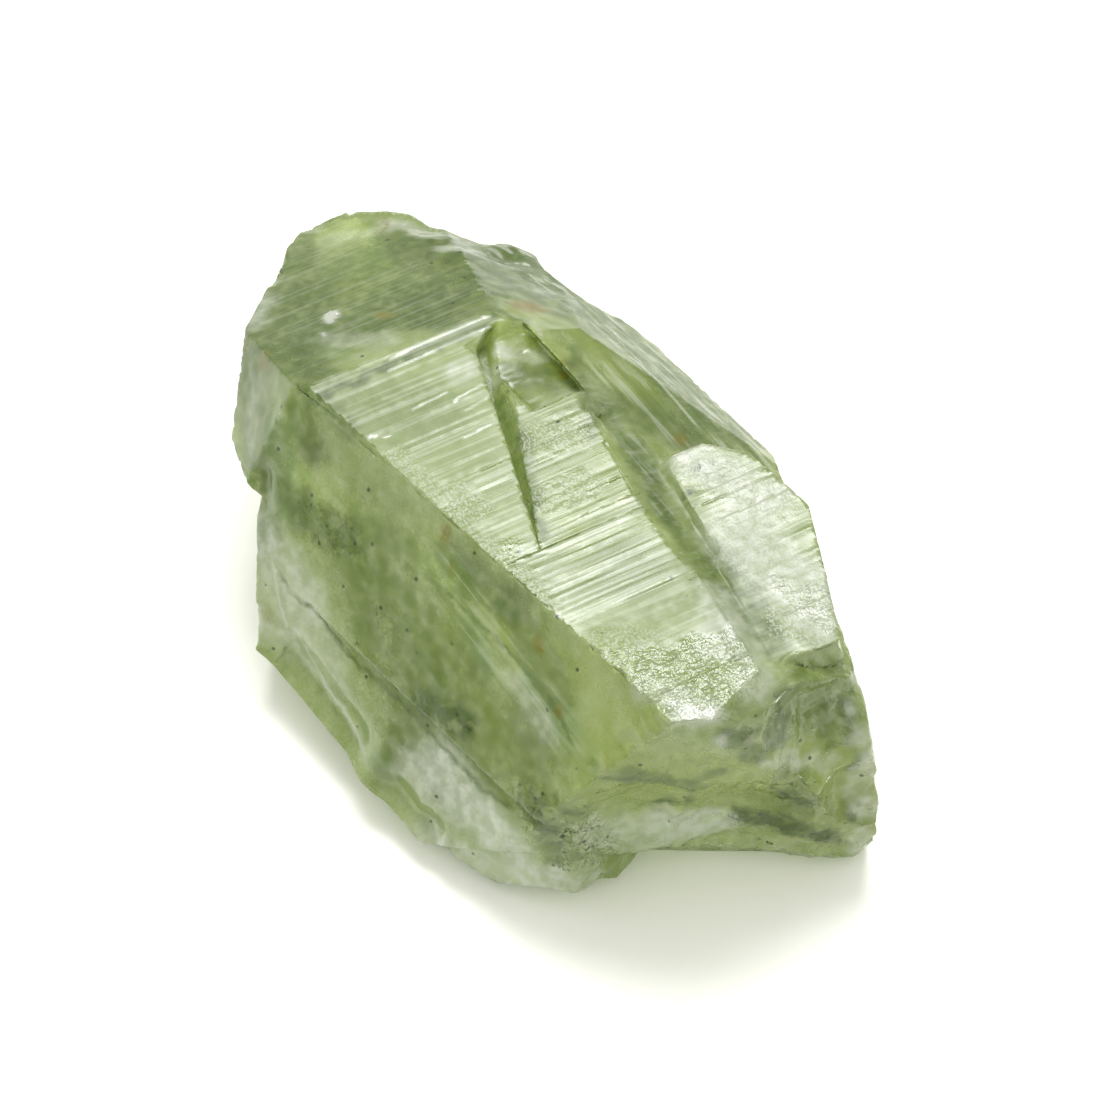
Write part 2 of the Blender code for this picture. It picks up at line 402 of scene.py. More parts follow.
DEEP_GREEN = (
    ((17.6, 1.0, 13.4), (15.6, -1.5, 14.3), 1.5, 0.85),
    ((17.3, -1.9, 13.5), (16.7, -4.6, 13.8), 1.9, 0.75),
    ((18.2, 5.1, 13.1), (14.8, 5.1, 14.7), 1.6, 0.70),
    ((22.3, 1.7, 11.2), (17.4, 3.5, 13.5), 1.3, 0.50),
    ((22.9, -0.4, 10.9), (21.1, -6.1, 11.6), 2.2, 0.40),
    ((20.0, 4.5, 11.8), (19.0, -6.0, 12.2), 7.0, 0.80),
    ((16.9, -2.0, 13.7), (16.6, -4.8, 13.8), 1.9, 0.95),
    ((18.6, -1.4, 12.8), (14.6, -2.2, 14.6), 1.8, 0.75),
    ((27.2, -1.2, 8.9), (24.8, 1.4, 10.1), 1.6, 0.55),
    ((24.8, 1.4, 10.1), (22.5, 3.4, 11.2), 1.2, 0.40),
    ((17.6, -0.6, 13.4), (14.4, -2.6, 14.6), 2.0, 0.60),
    ((18.0, 7.2, 11.5), (14.0, 8.0, 12.0), 1.6, 0.30),
    ((4.0, 9.8, 4.7), (1.6, 9.4, 4.5), 1.4, 0.25),
    ((19.5, -5.6, 12.4), (15.5, -8.0, 12.2), 1.8, 0.55),
    ((12.6, -3.8, 14.4), (9.0, -6.2, 14.0), 1.3, 0.35),
    ((-12.0, -7.2, 12.6), (-12.3, -8.6, 10.0), 1.2, 0.10),
    ((17.7, 0.9, 13.3), (15.7, -1.4, 14.2), 1.4, 0.60),
    ((22.8, 2.8, 11.0), (17.5, 4.3, 13.4), 1.2, 0.45),
    ((17.7, 4.5, 13.3), (14.9, 4.9, 14.6), 1.0, 0.50),
    ((20.8, -4.8, 11.9), (16.9, -7.3, 12.3), 2.0, 0.70),
    ((16.9, -7.3, 12.3), (12.1, -8.7, 12.9), 1.4, 0.50),
    ((-9.3, 2.7, 11.0), (-10.4, 1.6, 11.2), 0.5, 0.40),
    ((-10.4, 1.6, 11.2), (-11.6, -1.4, 9.7), 0.4, 0.70),
    ((-11.6, -1.4, 9.7), (-12.1, -2.8, 10.2), 0.5, 0.70),
    ((-12.2, -2.9, 13.0), (-12.5, -5.6, 11.3), 0.6, 0.85),
    ((-11.8, -5.9, 13.8), (-12.4, -5.7, 11.3), 0.3, 0.80),
    ((-11.7, -8.5, 11.3), (-12.7, -8.2, 9.4), 0.6, 0.50),
    ((-10.5, -0.5, 7.1), (-11.0, -1.6, 6.8), 0.4, 0.90),
    ((-11.5, -4.2, 4.4), (-13.0, -6.2, 4.4), 0.6, 0.60),
    ((-13.0, -6.2, 4.4), (-14.2, -7.9, 3.0), 0.6, 0.60),
    ((-13.4, -5.9, 9.4), (-13.0, -6.3, 5.3), 1.2, 0.35),
    ((-13.2, -9.3, 8.7), (-13.8, -9.1, 5.0), 0.3, 0.90),
    ((-8.4, 5.0, 7.9), (-9.4, 4.7, 4.1), 0.7, 0.60),
    ((-8.9, 4.4, 8.5), (-9.5, 3.7, 7.7), 0.4, 0.80),
    ((-3.5, -5.6, 14.9), (-9.3, -5.3, 15.0), 1.0, 0.40),
    ((13.25, 5.5, 15.0), (13.38, 1.7, 15.0), 0.45, 0.98),
    ((13.38, 1.7, 15.0), (13.48, -4.1, 15.0), 0.45, 0.98),
    ((15.5, 8.5, 10.6), (12.5, 10.0, 8.5), 2.6, 0.65),
    ((20.0, -7.6, 11.0), (15.0, -8.0, 12.6), 2.6, 0.60),
    ((24.5, 0.0, 10.2), (22.6, -5.0, 11.2), 2.0, 0.40),
    ((13.9, 6.4, 14.1), (12.0, 6.7, 12.9), 1.4, 0.75),
    ((13.0, 8.6, 10.4), (10.9, 8.0, 10.5), 1.5, 0.50),
    ((10.4, 8.0, 10.4), (7.9, 7.0, 11.0), 1.6, 0.50),
    ((13.3, 5.8, 14.8), (10.7, 5.1, 14.8), 0.8, 0.50),
    ((2.4, 3.8, 13.7), (-1.2, 2.8, 13.9), 1.6, 0.65),
    ((-1.2, 2.8, 13.9), (-5.8, 2.5, 12.5), 1.6, 0.55),
    ((-0.4, 4.8, 11.2), (-1.9, 4.8, 10.6), 1.2, 0.45),
    ((5.7, 6.3, 11.2), (-3.1, 7.1, 6.1), 4.6, 0.55),
    ((-1.0, 6.0, 9.0), (-6.0, 5.0, 9.0), 3.0, 0.40),
    ((-4.0, -6.9, 14.1), (-9.0, -6.9, 14.0), 1.6, 0.75),
    ((-0.5, 7.2, 7.5), (-2.8, 6.1, 8.3), 1.1, 0.95),
    ((-0.5, 8.5, 4.9), (-0.7, 9.4, 3.5), 1.4, 0.60),
    ((-6.0, 3.6, 10.6), (-8.0, 4.6, 8.6), 3.0, 0.35),
    ((-9.7, 2.3, 10.5), (-10.5, 1.1, 10.6), 0.5, 0.90),
    ((-10.5, 1.1, 10.2), (-11.7, -1.8, 8.8), 0.8, 0.70),
    ((-7.6, 5.4, 7.6), (-9.0, 5.0, 6.5), 0.9, 0.75),
    ((-9.0, 5.0, 6.5), (-9.9, 3.9, 4.7), 0.6, 0.45),
    ((-10.4, -0.3, 7.1), (-11.1, -1.5, 7.2), 0.5, 0.95),
    ((-12.1, -2.8, 13.5), (-12.6, -3.9, 13.3), 0.8, 0.95),
    ((-12.6, -3.9, 11.4), (-12.1, -5.7, 12.5), 0.9, 0.85),
    ((-11.9, -5.7, 14.0), (-10.8, -7.5, 13.8), 0.6, 0.60),
    ((-12.0, -6.0, 12.8), (-11.6, -9.2, 12.2), 2.6, 0.38),
    ((-13.0, -6.0, 7.2), (-13.5, -6.6, 6.8), 1.0, 0.90),
    ((-11.5, -4.2, 4.5), (-14.1, -7.8, 3.7), 0.9, 0.95),
    ((-12.6, -5.0, 6.0), (-14.2, -8.0, 5.0), 2.4, 0.30),
    ((-11.7, -9.4, 11.2), (-14.2, -8.8, 4.8), 0.4, 0.95),
    ((7.1, -6.8, 14.2), (4.2, -9.8, 12.5), 1.9, 0.65),
    ((20.0, -7.5, 11.5), (6.0, -12.0, 10.5), 4.6, 0.70),
    ((6.4, -6.4, 14.4), (-2.5, -6.0, 14.6), 0.8, 0.55),
    ((4.0, -6.4, 14.3), (-9.0, -6.8, 14.1), 1.6, 0.45),
    ((4.3, -7.0, 14.0), (1.7, -6.3, 14.5), 0.7, 0.70),
    ((2.1, -6.7, 14.2), (-0.9, -5.7, 14.8), 0.6, 0.80),
    ((19.3, -4.9, 12.6), (16.0, -5.7, 13.5), 1.2, 0.55),
    ((16.6, 1.7, 13.8), (16.7, -2.2, 13.8), 1.4, 0.50),
    ((16.7, -2.2, 13.8), (17.6, -5.5, 13.1), 1.6, 0.60),
    # The next four marks darken the split down the top: painted shade in the crease.
    ((12.9, -2.9, 13.9), (9.5, -2.3, 14.2), 0.6, 0.60),
    ((9.5, -2.3, 14.2), (6.4, -1.8, 14.9), 0.8, 0.60),
    ((6.4, -1.8, 14.9), (3.0, -0.7, 15.0), 0.7, 0.60),
    ((3.0, -0.7, 15.0), (0.7, 0.1, 15.0), 0.35, 0.90),
    ((10.5, -3.4, 14.4), (9.1, -6.2, 13.9), 1.2, 0.75),
    ((10.6, -7.0, 14.1), (5.2, -5.0, 15.0), 0.6, 0.70),
    ((13.9, -4.6, 14.8), (13.0, -5.3, 14.7), 0.8, 0.60),
    ((-12.1, -3.3, 14.9), (-11.7, -4.9, 15.0), 1.1, 0.55),
    ((12.3, 4.7, 15.0), (9.9, 1.5, 15.0), 2.8, 0.35),
    ((1.4, -8.7, 14.4), (0.4, -8.9, 14.4), 0.50, 0.65),
    ((0.4, -8.9, 14.4), (0.4, -9.6, 14.4), 0.42, 0.60),
    ((-1.9, -7.1, 14.2), (-3.3, -7.0, 14.3), 0.7, 0.40),
    ((18.2, -0.9, 13.1), (17.4, -3.9, 13.5), 1.9, 0.50),
    ((16.4, -4.4, 13.9), (14.6, -4.2, 14.7), 1.0, 0.50),
    ((-0.7, -0.1, 15.0), (-4.0, -3.8, 15.0), 2.8, 0.25),
    ((1.7, -5.8, 14.8), (0.1, -5.4, 15.0), 0.9, 0.40),
    ((1.1, -8.7, 14.4), (1.0, -9.3, 14.4), 0.52, 0.70),
    ((0.1, -7.3, 14.4), (0.2, -7.7, 14.4), 0.38, 0.80),
    ((-9.7, -8.2, 14.4), (-9.0, -9.7, 14.4), 1.2, 0.22),
    ((-2.5, 0.2, 15.0), (-2.5, -4.0, 15.0), 1.9, 0.20),
)
PALE = (
    ((25.8, -0.7, 9.6), (23.9, -5.3, 10.5), 0.8, 0.25),
    ((-8.6, 5.7, 2.9), (-10.2, 3.2, 3.4), 1.2, 0.25),
    ((16.9, 2.9, 13.7), (15.1, 0.9, 14.5), 1.1, 0.35),
    ((22.8, 4.3, 11.0), (21.0, 5.5, 11.3), 1.3, 0.50),
    ((17.4, 7.2, 11.7), (15.2, 8.7, 10.3), 1.3, 0.25),
    ((11.7, 10.0, 7.9), (8.0, 9.6, 7.1), 2.4, 0.65),
    ((8.0, 9.6, 7.1), (4.5, 9.8, 4.8), 2.0, 0.40),
    ((9.2, 11.2, 4.9), (6.4, 10.5, 4.5), 1.2, 0.50),
    ((11.6, -1.0, 15.0), (11.0, -2.8, 14.2), 1.0, 0.60),
    ((12.8, -2.9, 14.8), (12.0, -3.8, 14.4), 0.6, 0.80),
    ((11.8, -4.0, 14.3), (11.0, -5.3, 14.1), 0.7, 0.50),
    ((-3.6, 3.8, 11.4), (-6.7, 3.6, 10.7), 0.9, 0.40),
    ((-3.0, 7.6, 5.4), (-7.5, 6.7, 4.7), 2.3, 0.95),
    ((-9.7, 2.8, 5.8), (-10.6, 0.2, 4.8), 1.6, 0.55),
    ((-11.0, -0.7, 5.0), (-11.2, -2.8, 4.1), 1.6, 0.85),
    ((-12.6, -9.7, 9.5), (-14.7, -9.3, 2.0), 0.9, 0.70),
    ((-5.0, 8.8, 2.1), (-9.6, 4.6, 3.6), 0.5, 0.80),
    ((-9.8, 4.7, 2.8), (-8.3, 6.1, 2.2), 1.2, 0.60),
    ((-4.5, 9.0, 1.6), (-9.5, 4.6, 1.2), 2.0, 0.75),
    ((-10.8, -1.1, 15.0), (-11.8, -2.4, 15.0), 1.0, 0.90),
    # The next mark is a painted highlight: a small near-white spot for the star glint on the
    # broken end.
    ((-12.0, -2.5, 13.2), (-12.0, -2.5, 13.2), 0.55, 1.00),
    ((-8.3, -4.0, 15.0), (-7.9, -5.3, 15.0), 1.2, 0.60),
    ((-8.8, -0.2, 15.0), (-11.0, -2.0, 15.0), 1.2, 0.50),
    ((-6.1, -5.8, 14.8), (-11.1, -5.1, 15.0), 1.6, 0.60),
    ((2.1, -8.8, 14.4), (-1.9, -10.7, 14.4), 1.8, 0.90),
    ((-2.8, -8.7, 14.4), (-7.9, -9.7, 14.4), 2.4, 0.80),
    ((-10.5, -0.3, 6.0), (-11.4, -3.4, 4.0), 1.1, 0.65),
    ((-8.0, 5.9, 3.0), (-10.2, 3.0, 2.2), 1.0, 0.65),
    ((-1.5, 8.6, 4.4), (-5.0, 7.6, 4.4), 1.6, 0.50),
    ((-12.8, -4.6, 11.0), (-13.2, -7.9, 8.8), 0.7, 0.60),
    ((-11.8, -9.5, 11.1), (-14.0, -8.8, 4.9), 0.3, 0.60),
    ((24.9, -4.0, 10.0), (23.4, -5.0, 10.7), 0.8, 0.55),
    ((15.9, -7.9, 12.3), (14.9, -9.1, 11.9), 0.9, 0.35),
)
COOL = (
    ((-6.5, 2.9, 11.7), (-9.0, 2.9, 10.8), 1.3, 0.90),
    ((-9.3, 2.8, 10.4), (-10.5, 1.1, 10.6), 0.7, 0.80),
    ((-0.2, 4.4, 11.9), (-2.4, 4.6, 10.9), 0.9, 0.60),
    ((-3.2, 3.4, 12.2), (-5.8, 3.4, 11.4), 0.8, 0.50),
    ((14.2, 7.6, 12.4), (11.8, 8.6, 10.2), 1.6, 0.50),
    ((16.0, 3.4, 14.2), (20.0, 3.6, 12.2), 1.2, 0.40),
    ((-11.0, -0.7, 5.0), (-11.2, -2.8, 4.1), 1.4, 0.40),
    ((1.6, 9.6, 3.4), (-1.0, 9.0, 3.2), 1.2, 0.50),
)
WARM = (
    ((-10.3, 1.8, 10.4), (-13.6, -7.9, 6.0), 5.0, 0.80),
    ((21.5, 2.8, 11.6), (15.9, -3.4, 14.1), 3.8, 0.35),
    ((19.6, -4.8, 12.4), (8.4, -9.5, 12.6), 1.9, 0.80),
    ((12.5, -4.0, 14.3), (9.5, -6.0, 14.0), 1.6, 0.80),
    ((4.6, -5.2, 15.0), (-8.8, -6.5, 14.4), 1.9, 0.30),
    ((-1.2, 3.3, 13.0), (-3.2, 3.6, 12.0), 0.5, 0.90),
    ((-0.2, 3.1, 13.6), (-6.0, 2.0, 13.0), 1.6, 0.40),
    ((0.0, 5.4, 10.4), (-4.6, 5.6, 8.4), 2.0, 0.55),
    ((-6.4, 5.0, 8.8), (-7.6, 5.2, 8.2), 1.4, 0.40),
    ((-12.9, -4.6, 11.2), (-13.0, -7.9, 9.0), 1.0, 0.55),
    ((-8.4, 1.6, 13.0), (-10.2, 1.0, 12.4), 1.4, 0.40),
    ((0.6, -1.6, 15.0), (-2.4, -0.4, 15.0), 1.4, 0.50),
    ((13.7, -5.3, 14.4), (14.7, -8.4, 12.4), 0.9, 0.50),
    ((-6.7, 1.1, 14.5), (-9.6, 0.6, 14.2), 2.4, 0.60),
)
SPECKLED = (
    ((10.4, 8.0, 10.4), (7.8, 7.1, 10.8), 1.5, 0.80),
    ((-0.5, 7.2, 7.5), (-2.8, 6.1, 8.3), 1.1, 0.90),
    ((-7.8, 5.2, 7.7), (-9.3, 4.4, 5.6), 1.6, 1.00),
    ((-9.3, 4.4, 5.6), (-10.1, 3.2, 4.0), 1.1, 0.60),
    ((-12.6, -5.7, 7.2), (-13.5, -6.6, 6.8), 1.0, 0.90),
    ((-11.5, -4.2, 4.5), (-14.1, -7.8, 3.7), 0.9, 1.00),
    ((-11.7, -9.3, 11.2), (-14.2, -8.8, 4.8), 0.4, 0.25),
    ((3.3, 7.6, 8.4), (0.8, 7.8, 6.5), 2.8, 0.30),
    ((-9.5, 3.7, 7.6), (-10.0, 2.6, 4.2), 1.4, 0.80),
    ((-13.1, -5.3, 9.1), (-13.5, -6.8, 6.2), 1.4, 0.80),
    ((-13.3, -6.5, 4.4), (-14.2, -8.0, 2.9), 0.9, 0.90),
    ((-11.5, -4.2, 4.6), (-12.5, -5.6, 4.4), 0.5, 0.90),
    ((-12.0, -5.7, 14.6), (-12.3, -5.8, 11.4), 0.5, 0.80),
    ((-8.0, 5.2, 7.8), (-9.8, 4.4, 3.9), 0.6, 0.90),
    ((1.1, -8.7, 14.4), (0.9, -9.3, 14.4), 0.5, 0.90),
    ((0.1, -7.3, 14.4), (0.2, -7.7, 14.4), 0.4, 0.90),
)
FROSTED = (
    ((6.2, -2.4, 15.0), (5.6, -4.0, 15.0), 1.4, 0.90),
    ((2.8, -0.9, 15.0), (2.5, -3.4, 15.0), 1.2, 0.80),
    ((5.2, 2.4, 15.0), (3.6, 1.8, 15.0), 1.0, 0.90),
    ((0.7, 2.9, 14.4), (-1.6, 1.9, 15.0), 1.2, 0.90),
    ((8.1, 4.1, 15.0), (3.8, 3.3, 14.9), 1.2, 0.80),
    ((3.8, 3.3, 14.9), (-2.5, 1.8, 14.8), 1.1, 0.90),
    ((-7.4, 0.3, 14.9), (-10.6, -3.0, 15.0), 3.4, 1.00),
    ((1.9, -8.6, 14.4), (-1.9, -10.7, 14.4), 1.9, 0.80),
    ((-3.3, -8.4, 14.4), (-8.1, -10.1, 14.4), 2.4, 0.60),
    ((-8.2, -7.8, 14.4), (-10.3, -9.4, 13.5), 1.2, 0.90),
    ((-10.8, -1.1, 15.0), (-11.8, -2.4, 15.0), 0.9, 1.00),
    ((20.6, 6.0, 11.0), (22.5, 4.6, 11.0), 1.2, 0.60),
)
RUST = (
    ((14.3, -6.0, 13.9), (14.1, -6.8, 13.5), 0.75, 1.00),
    ((14.3, -6.1, 13.9), (14.1, -6.7, 13.6), 0.90, 0.80),
    ((18.1, 6.5, 12.7), (18.0, 6.5, 12.7), 0.75, 0.60),
    ((17.4, 0.0, 13.4), (17.2, 0.0, 13.5), 0.55, 0.75),
    ((25.5, -4.1, 9.8), (24.5, -3.6, 10.2), 0.22, 0.60),
    ((9.5, -5.8, 14.8), (9.5, -5.9, 14.0), 0.40, 0.60),
    ((3.6, 3.7, 14.3), (3.6, 3.7, 14.3), 0.60, 0.85),
    ((2.3, 4.1, 13.2), (2.3, 4.1, 13.2), 0.50, 0.65),
    ((-3.6, 2.4, 13.5), (-3.6, 2.4, 13.5), 0.60, 0.85),
    ((-6.4, 2.9, 11.8), (-6.4, 2.9, 11.8), 0.60, 0.85),
    ((4.4, -9.6, 12.6), (4.4, -9.6, 12.6), 0.60, 0.85),
    ((8.9, 11.0, 5.3), (8.9, 11.0, 5.3), 0.70, 0.40),
)
# How the surface changes from place to place, by the same kind of marks: dull ground, bands,
# smooth ground, steps that lean, still ground, the crust, and finely lined ground.
DULL = (
    ((25.0, 3.0, 9.5), (15.5, 0.0, 14.0), 7.0, 0.80),
    ((8.0, -6.4, 14.2), (-11.0, -6.4, 14.0), 1.8, 0.90),
    ((12.0, -2.6, 14.0), (3.0, -0.7, 14.8), 0.8, 0.90),
    ((20.0, -9.0, 11.0), (5.0, -12.0, 10.0), 4.0, 0.60),
)
BANDED = (
    ((19.0, -8.6, 10.5), (4.0, -12.6, 11.0), 3.2, 0.90),
    ((9.0, -8.0, 13.4), (5.0, -9.5, 12.6), 2.0, 0.50),
    ((4.3, -7.0, 14.0), (-1.5, -5.8, 14.8), 0.8, 0.40),
    ((2.0, 4.4, 12.8), (-7.0, 3.4, 11.0), 2.2, 0.35),
    ((-12.0, -6.0, 12.0), (-12.4, -9.2, 11.0), 2.0, 0.35),
)
SMOOTH = (
    ((9.0, -6.8, 14.2), (-11.0, -6.4, 14.0), 1.9, 1.00),
    ((14.0, -2.9, 14.0), (1.0, 0.0, 15.0), 0.6, 1.00),
    ((14.5, -4.5, 14.6), (9.0, -5.0, 14.2), 1.8, 0.80),
    ((12.6, -3.8, 14.3), (9.9, -5.2, 14.1), 1.6, 1.00),
)
LEANING = (
    ((-0.5, -2.0, 15.0), (-3.5, -2.8, 15.0), 2.6, 1.00),
    ((6.4, -3.7, 15.0), (6.0, -5.3, 15.0), 0.7, -1.00),
    ((3.2, -1.6, 15.0), (3.2, -5.0, 15.0), 1.0, -1.00),
    ((1.6, -0.6, 15.0), (0.8, -5.0, 15.0), 1.0, -0.60),
    ((0.5, 2.9, 15.0), (0.0, 0.9, 15.0), 1.0, -0.80),
    ((2.4, -8.6, 14.4), (-1.9, -10.7, 14.4), 2.4, -2.60),
    ((-3.0, -8.6, 14.4), (-7.0, -10.0, 14.4), 2.4, -0.80),
    ((14.5, -1.0, 15.0), (9.0, 3.0, 15.0), 5.5, 1.30),
    ((6.5, 2.5, 15.0), (3.5, 1.0, 15.0), 2.5, 0.40),
    ((-3.6, -1.0, 15.0), (-4.4, -4.0, 15.0), 2.2, 0.60),
)
STILL = (
    ((12.4, 4.4, 15.0), (12.9, -3.0, 15.0), 2.8, 0.90),
    ((10.1, 3.9, 15.0), (10.2, -1.0, 15.0), 2.6, 0.80),
    ((6.5, 3.6, 15.0), (6.9, -1.5, 15.0), 2.4, 0.60),
    ((3.0, 3.0, 15.0), (2.6, 0.5, 15.0), 2.0, 0.50),
    ((-5.8, -0.1, 15.0), (-6.1, -5.5, 14.9), 2.1, 0.75),
    ((-3.5, -5.6, 14.9), (-9.3, -5.3, 15.0), 1.4, 0.90),
    ((-4.0, -8.6, 14.4), (-9.0, -9.6, 14.4), 2.6, 0.60),
)
CRUST = (
    ((-7.0, 0.4, 15.0), (-8.7, -5.0, 15.0), 1.1, 1.00),
    ((-8.4, 0.0, 15.0), (-10.2, -5.0, 15.0), 1.3, 1.00),
    ((-10.3, -0.8, 15.0), (-11.2, -3.9, 15.0), 1.2, 1.00),
    ((-0.1, 2.6, 15.0), (1.0, 1.6, 15.0), 0.8, 0.60),
    ((-6.8, -9.0, 14.4), (-8.6, -10.0, 14.4), 1.4, 0.70),
)
FINE_LINED = (
    ((0.5, -4.0, 15.0), (-1.5, 1.0, 15.0), 3.2, 1.00),
    ((8.0, 3.0, 15.0), (6.0, 0.5, 15.0), 2.2, 0.60),
    ((0.0, -7.5, 14.4), (-1.0, -11.0, 14.4), 1.6, 0.80),
)

# What ground each spot belongs to: how far down the crystal the broken end begins, and how
# level the skin has to be to count as broken, grown, lined or crusted, from none to all.
BROKEN_FROM = -8.6
BROKEN_FULL = -10.4
BROKEN_LEVEL = (0.80, 0.92)
GROWN_LEVEL = (0.86, 0.97)
LINED_LEVEL = (0.93, 0.975)
CRUSTED_LEVEL = (0.80, 0.95)
RAGGED_SHAKES = ((0.9, 0.30), (0.35, 0.15))
CRUST_SHAKES = ((1.6, 0.9), (0.5, 0.3))
LINES_ON_GROWN = 0.12
LINES_ON_LEVEL = 0.88
FROST_HIDES = 0.6
STILL_HIDES = 0.7
STILL_DULLS = 0.9

upright = facings[:, 2]
broken = smooth_step(-places[:, 0], -BROKEN_FROM, -BROKEN_FULL)
broken *= 1.0 - smooth_step(upright, *BROKEN_LEVEL)
grown = (1.0 - broken) * smooth_step(upright, *GROWN_LEVEL)
still = summed(places, STILL)
smoothed = summed(places, SMOOTH)
crust = summed(shaken(places, *CRUST_SHAKES), CRUST)
ragged = shaken(places, *RAGGED_SHAKES)
frosted = summed(ragged, FROSTED)
level = (1.0 - broken) * smooth_step(upright, *LINED_LEVEL)
lined = (LINES_ON_GROWN * grown + LINES_ON_LEVEL * level) * (1.0 - smoothed)
lined *= (1.0 - FROST_HIDES * frosted) * (1.0 - STILL_HIDES * still) * (1.0 - crust)
records = {
    "deep_green": summed(ragged, DEEP_GREEN),
    "pale": summed(ragged, PALE),
    "cool": summed(ragged, COOL),
    "warm": summed(ragged, WARM),
    "speckled": summed(ragged, SPECKLED),
    "frosted": frosted,
    "rust": summed(ragged, RUST),
    "banded": summed(places, BANDED),
    "dull": np.maximum(summed(places, DULL), STILL_DULLS * still),
    "broken": broken,
    "grown": grown,
    "lined": lined,
    "crust": crust * smooth_step(upright, *CRUSTED_LEVEL),
    "glint": np.zeros(count),
}

# Slow clouds, bands and fibres of colour in the stone: the lumps' size, and for the drawn-out
# ones the way they run and how much of the noise is kept along it.
CLOUD_SIZE = 3.6
CLOUD_SHAKE = (2.5, 1.2)
BAND_SIZE = 1.1
BAND_RUN = (-0.97, -0.09, -0.23)
BAND_KEEP = 0.15
FIBRE_SIZE = 0.67
FIBRE_RUN = (-0.61, 0.34, -0.72)
FIBRE_KEEP = 0.12
NOISE_MIDDLE = 0.5
NOISE_SWING = 0.3
FINER_SHARE = 0.5

for name, points, size, seed in (
    ("slow_cloud", shaken(places, CLOUD_SHAKE), CLOUD_SIZE, 0.0),
    ("slow_bands", stretched(places, BAND_RUN, BAND_KEEP), BAND_SIZE, 9.0),
    ("fibres", stretched(places, FIBRE_RUN, FIBRE_KEEP), FIBRE_SIZE, 3.0),
):
    lumps = lumpy(points, size, seed) + FINER_SHARE * lumpy(points, size / 2, seed)
    records[name] = NOISE_MIDDLE + NOISE_SWING * lumps

# Cracks and veils that run along the left side as thin lines: the offset of each spot above
# or below the line, in millimetres, so the material can draw it crisply.
DARK_CRACK = (
    (-7.4, 6.4), (-6.9, 6.4), (-5.1, 6.2), (-2.2, 6.3), (0.8, 6.5), (4.4, 6.4), (8.8, 7.1),
    (10.5, 7.6),
)
FAINT_CRACK = (
    (-8.5, 10.8), (-7.5, 11.3), (-5.7, 11.9), (-3.2, 12.2), (-0.5, 12.3), (1.7, 12.3), (3.9, 12.0),
    (5.5, 11.8),
)
PALE_VEIL = ((0.0, 2.9), (2.2, 3.3), (3.5, 3.7), (5.1, 4.1), (7.3, 5.1), (9.7, 7.0), (11.0, 8.0))
LEFT_SIDE = (0.45, 0.65)

on_left = smooth_step(facings[:, 1], *LEFT_SIDE)
for name, line in (
    ("dark_crack", DARK_CRACK), ("faint_crack", FAINT_CRACK), ("pale_veil", PALE_VEIL),
):
    along, height = np.array(line).T
    records[name] = places[:, 2] - np.interp(places[:, 0], along, height)
    begun = smooth_step(places[:, 0], along[0], along[1])
    ended = smooth_step(places[:, 0], along[-2], along[-1])
    records[name + "_show"] = on_left * begun * (1.0 - ended)

# The growth steps: treads across the length of the crystal, uneven in width, each leaning
# by its own amount, which drifts along its line. There is a coarse set and a fine one: the
# narrowest and the widest tread, and how much they lean.
TREADS = ((0.30, 2.6, 0.036), (0.17, 0.55, 0.100))
TREADS_FROM = -16.0
TREADS_TO = 30.0
TREAD_APART = 7.3
TREAD_DRIFT = 0.22
SET_APART = 11.0
LEANING_RISE = 0.022
STILL_EVENS = 0.85
CRUST_EVENS = 0.8
FINE_LEAST = 0.20

chance = random.Random(7)
leaning = np.zeros(count)
for start, end, width, strength in LEANING:
    leaning += LEANING_RISE * strength * near(places, start, end, width, MARK_CORE)
fine_lined = summed(places, FINE_LINED)
across = places[:, 0]
steps = np.zeros(count)
for order, (narrow, wide, lean) in enumerate(TREADS):
    starts = [TREADS_FROM]
    while starts[-1] < TREADS_TO:
        starts.append(starts[-1] + narrow * (wide / narrow) ** chance.random())
    starts = np.array(starts)
    tread = np.clip(np.searchsorted(starts, across) - 1, 0, len(starts) - 2)
    drift = (tread * TREAD_APART, places[:, 1] * TREAD_DRIFT, np.full(count, order * SET_APART))
    slope = lean * lumpy(np.column_stack(drift), 1.0)
    slope *= (1.0 - STILL_EVENS * still) * (1.0 - CRUST_EVENS * crust)
    if order == 0:
        slope += leaning
    else:
        slope *= FINE_LEAST + (1.0 - FINE_LEAST) * fine_lined
    steps += ((starts[tread] + starts[tread + 1]) / 2 - across) * slope


def mirror_lean(place):
    """The rise along x and along y of a facet there that mirrors the soft box into the lens."""
    middle = np.array((0.0, 0.0, TOP))
    to_eye = middle + np.array(toward_eye) * LENS / SENSOR * VIEW_WIDTH - place
    to_lamp = middle + np.array(SOFTBOX_TOWARD) * SOFTBOX_AWAY / MM - place
    facing = to_eye / np.linalg.norm(to_eye) + to_lamp / np.linalg.norm(to_lamp)
    return -facing[:2] / facing[2]


# A few of the steps lean just enough to catch the soft box: the two ends of each on the top. Their
# shine also paints a highlight, a near-white tint, into the colour along them.
BRIGHT_STEPS = (
    ((13.70, 1.6), (13.80, -4.0)),
    ((13.08, 1.9), (13.18, -3.9)),
    ((10.45, 2.0), (10.60, 0.0)),
    ((9.95, 0.0), (10.20, -1.8)),
    ((9.15, -0.3), (9.40, -1.6)),
    ((7.78, 0.5), (7.90, -1.0)),
    ((10.05, 4.6), (9.75, 4.2)),
    ((9.60, 4.0), (9.58, 3.5)),
)
BRIGHT_STEP_WIDTH = 0.18
STEP_SHINE = 0.45
STEP_SHINE_SWING = 0.35
SHINE_PATCH = 1.2
SHINE_SEED = 5.0

